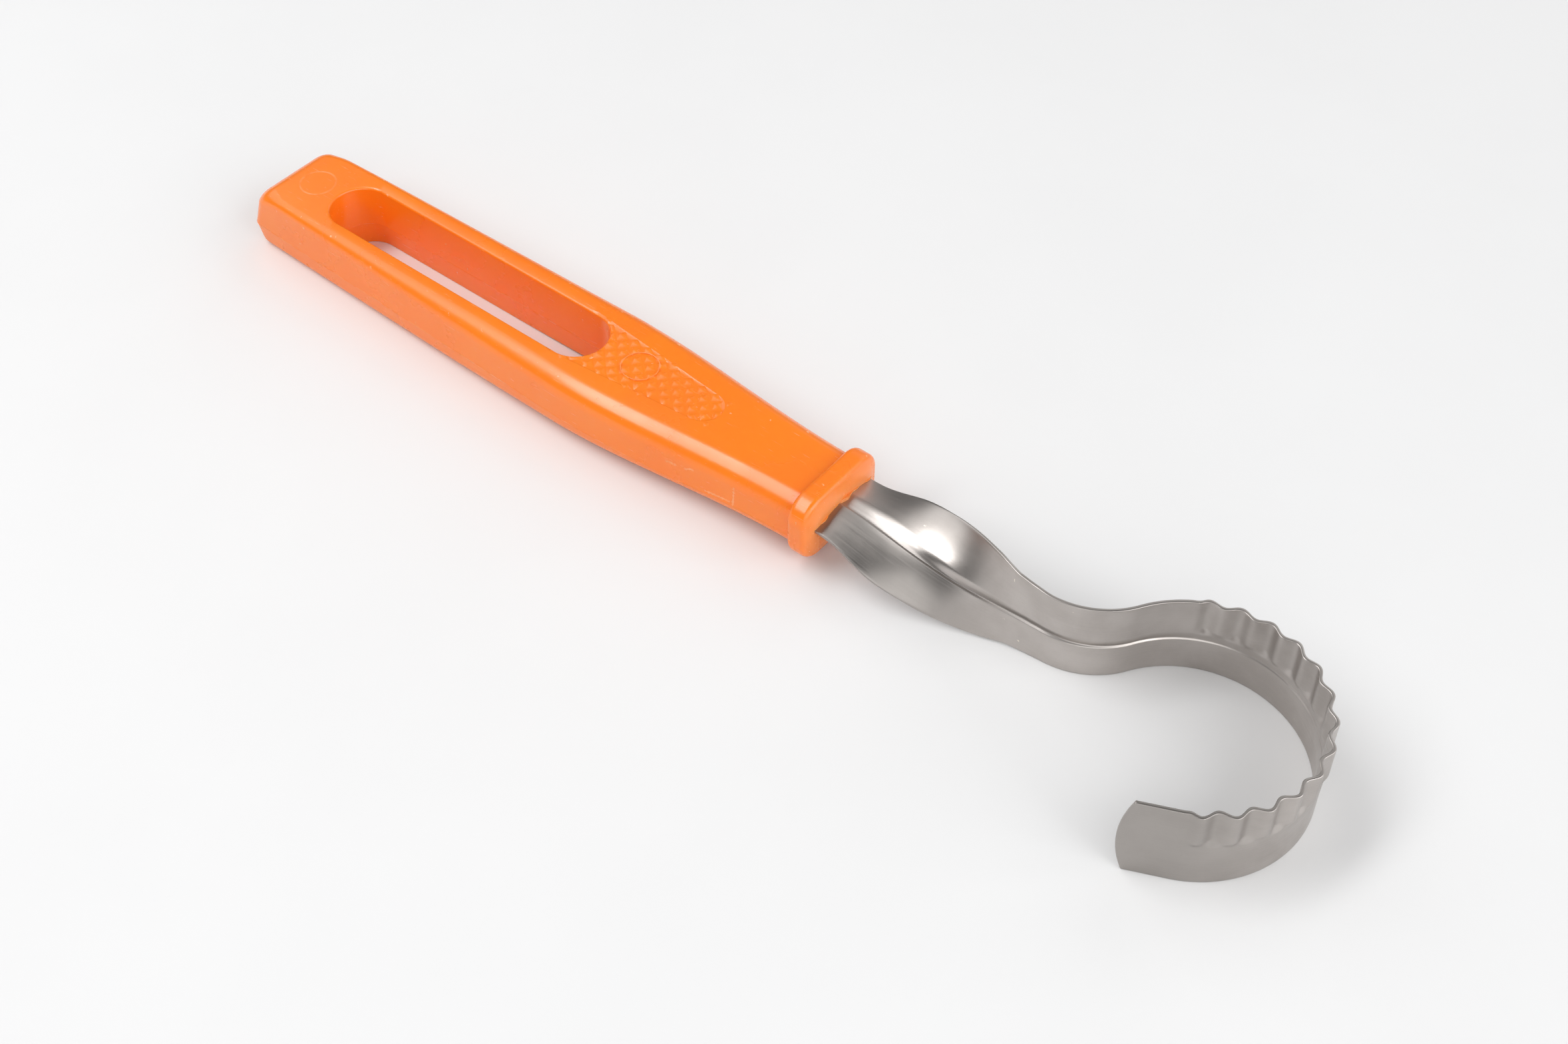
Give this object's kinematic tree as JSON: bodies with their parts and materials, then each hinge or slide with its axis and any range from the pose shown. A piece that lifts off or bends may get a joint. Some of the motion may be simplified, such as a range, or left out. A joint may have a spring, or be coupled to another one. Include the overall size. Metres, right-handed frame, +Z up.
{
  "type": "butter curler",
  "caption": "Butter curler: a fluted hook twisted and bent from a steel strip, moulded into a flat plastic handle with a hanging slot and a thumb patch.",
  "frame": {"origin": "middle of the flat land under the handle's far end, between the hanging slot and that end", "axes": "+X along the handle to the hook, +Z up from the flat underside, +Y to the side that the hook turns away from"},
  "size_m": [0.1852, 0.0344, 0.0135],
  "materials": {
    "handle_plastic": "smooth moulded orange plastic with soft gloss and fine scuffs",
    "blade_steel": "satin rolled stainless steel, a little worn"
  },
  "bodies": {
    "root": {"handle": "handle_plastic", "blade": "blade_steel"}
  },
  "joints": []
}
